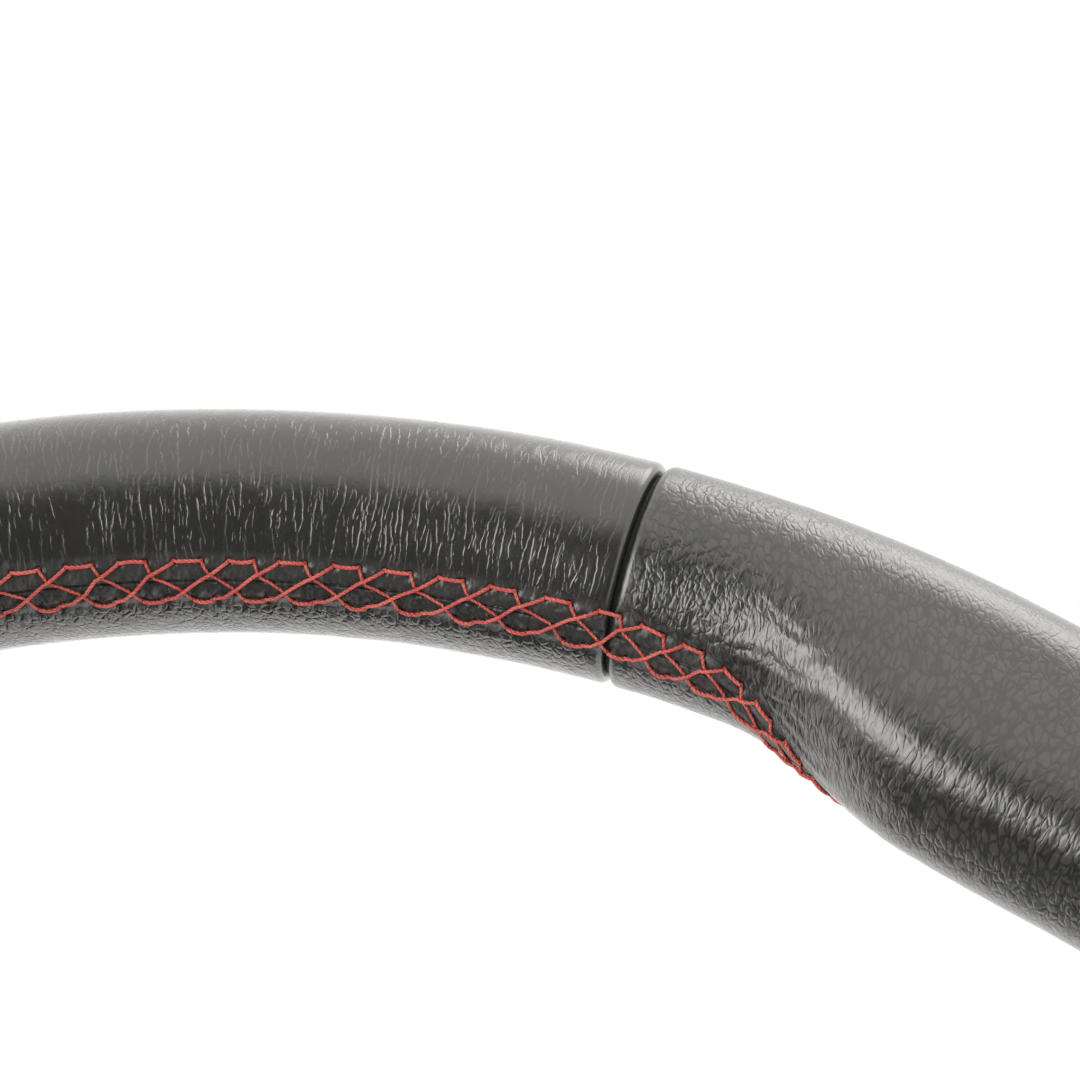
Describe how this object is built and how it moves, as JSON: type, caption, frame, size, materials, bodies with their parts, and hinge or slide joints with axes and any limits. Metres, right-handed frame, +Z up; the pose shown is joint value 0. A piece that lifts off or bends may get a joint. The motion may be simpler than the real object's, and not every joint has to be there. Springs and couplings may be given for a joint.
{
  "type": "quick release steering wheel",
  "caption": "Leather wrapped round motorsport steering wheel with thumb grips, metal spokes, a horn button and a ball lock quick release hub for a splined column spindle.",
  "frame": {"origin": "on the steering axis at the mouth of the column bore", "axes": "+Z up, steering axis along Y: the column leaves toward +Y and the driver sits on the -Y side; the wheel lies in the XZ plane"},
  "size_m": [0.35, 0.1235, 0.35],
  "materials": {
    "top_leather": "fine grain, semi gloss",
    "grip_leather": "smooth, semi gloss",
    "red_thread": "waxed polyester thread",
    "foam": "moulded foam",
    "silver_alloy": "turned, satin",
    "black_alloy": "black anodised, bead blasted",
    "red_alloy": "red anodised",
    "spindle_steel": "machined steel",
    "spring_steel": "drawn wire",
    "ball_steel": "polished",
    "black_steel": "black oxide",
    "black_plastic": "moulded",
    "button_plastic": "gloss black, no mark",
    "brass": "stamped"
  },
  "bodies": {
    "column_side": {"hub_spindle": "spindle_steel"},
    "wheel": {"wheel_adaptor": "silver_alloy", "collar_spring": "spring_steel", "collar_circlip": "spring_steel", "wheel_bolts": "black_steel", "spoke_frame": "black_alloy", "spoke_rivets": "silver_alloy", "rim_armature": "silver_alloy", "rim_padding": "foam", "leather_top": "top_leather", "leather_bottom": "top_leather", "leather_grip_right": "grip_leather", "leather_grip_left": "grip_leather", "seam_thread_top": "red_thread", "seam_thread_bottom": "red_thread", "seam_thread_grip_right": "red_thread", "seam_thread_grip_left": "red_thread", "horn_trim_ring": "black_alloy", "horn_housing": "black_plastic", "horn_fixed_contact": "brass", "horn_spring": "spring_steel", "horn_terminals": "brass"},
    "collar": {"release_collar": "red_alloy"},
    "horn_button": {"horn_cap": "button_plastic", "horn_moving_contact": "brass"},
    "ball_1": {"locking_ball_1": "ball_steel"},
    "ball_2": {"locking_ball_2": "ball_steel"},
    "ball_3": {"locking_ball_3": "ball_steel"},
    "ball_4": {"locking_ball_4": "ball_steel"},
    "ball_5": {"locking_ball_5": "ball_steel"},
    "ball_6": {"locking_ball_6": "ball_steel"}
  },
  "joints": [
    {"name": "wheel_pull_off", "type": "slide", "parent": "column_side", "child": "wheel", "axis": [0, -1, 0], "range_m": [0, 0.06]},
    {"name": "collar_slide", "type": "slide", "parent": "wheel", "child": "collar", "axis": [0, -1, 0], "range_m": [0, 0.006], "stiffness_N_per_m": 1500, "springref_m": -0.01, "deforming": ["collar_spring"]},
    {"name": "horn_press", "type": "slide", "parent": "wheel", "child": "horn_button", "axis": [0, 1, 0], "range_m": [0, 0.0025], "stiffness_N_per_m": 900, "springref_m": -0.005, "deforming": ["horn_spring"]},
    {"name": "ball_1_lift", "type": "slide", "parent": "wheel", "child": "ball_1", "axis": [0.866, 0, 0.5], "range_m": [0, 0.0016]},
    {"name": "ball_2_lift", "type": "slide", "parent": "wheel", "child": "ball_2", "axis": [0.866, 0, -0.5], "range_m": [0, 0.0016]},
    {"name": "ball_3_lift", "type": "slide", "parent": "wheel", "child": "ball_3", "axis": [0, 0, -1], "range_m": [0, 0.0016]},
    {"name": "ball_4_lift", "type": "slide", "parent": "wheel", "child": "ball_4", "axis": [-0.866, 0, -0.5], "range_m": [0, 0.0016]},
    {"name": "ball_5_lift", "type": "slide", "parent": "wheel", "child": "ball_5", "axis": [-0.866, 0, 0.5], "range_m": [0, 0.0016]},
    {"name": "ball_6_lift", "type": "slide", "parent": "wheel", "child": "ball_6", "axis": [0, 0, 1], "range_m": [0, 0.0016]}
  ],
  "couplings": [
    {"joint": "ball_1_lift", "follows": "collar_slide", "ratio": 0.25833},
    {"joint": "ball_2_lift", "follows": "collar_slide", "ratio": 0.25833},
    {"joint": "ball_3_lift", "follows": "collar_slide", "ratio": 0.25833},
    {"joint": "ball_4_lift", "follows": "collar_slide", "ratio": 0.25833},
    {"joint": "ball_5_lift", "follows": "collar_slide", "ratio": 0.25833},
    {"joint": "ball_6_lift", "follows": "collar_slide", "ratio": 0.25833}
  ]
}
